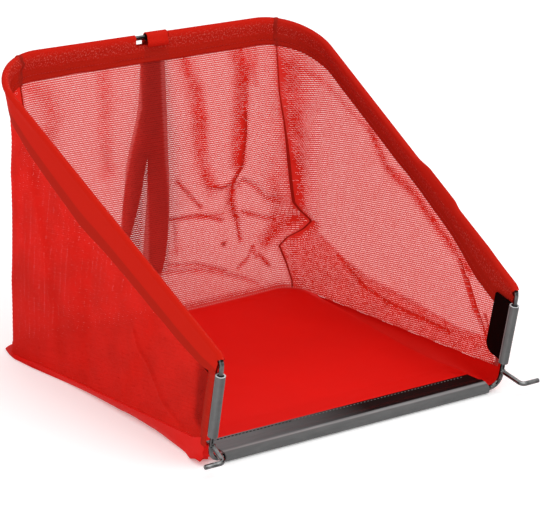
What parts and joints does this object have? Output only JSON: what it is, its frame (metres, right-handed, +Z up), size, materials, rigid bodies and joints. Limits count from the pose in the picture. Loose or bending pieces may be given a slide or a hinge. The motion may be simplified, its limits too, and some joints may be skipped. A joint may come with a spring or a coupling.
{
  "type": "grass catcher",
  "caption": "Open mesh bag with a coated cloth floor, hung in a bent wire frame with two hooks and a strap loop, for the back of a hand reel mower.",
  "frame": {"origin": "middle of the floor's underside, on the surface that the catcher stands on", "axes": "+X to the right seen from the open front, +Y from the open front to the back wall, +Z up"},
  "size_m": [0.4, 0.4544, 0.3202],
  "materials": {
    "zinc_wire": "bright zinc plate, slightly dulled",
    "dark_plastic": "soft sheen",
    "mesh_cloth": "open woven mesh, matte",
    "coated_cloth": "coated, satin",
    "strap_webbing": "woven webbing, matte"
  },
  "bodies": {
    "root": {"frame_wire": "zinc_wire", "left_hook": "zinc_wire", "right_hook": "zinc_wire", "front_edge_profile": "dark_plastic", "left_edge_profile": "dark_plastic", "right_edge_profile": "dark_plastic", "back_panel": "mesh_cloth", "left_panel": "mesh_cloth", "right_panel": "mesh_cloth", "floor_panel": "coated_cloth", "hanging_strap": "strap_webbing"}
  },
  "joints": []
}
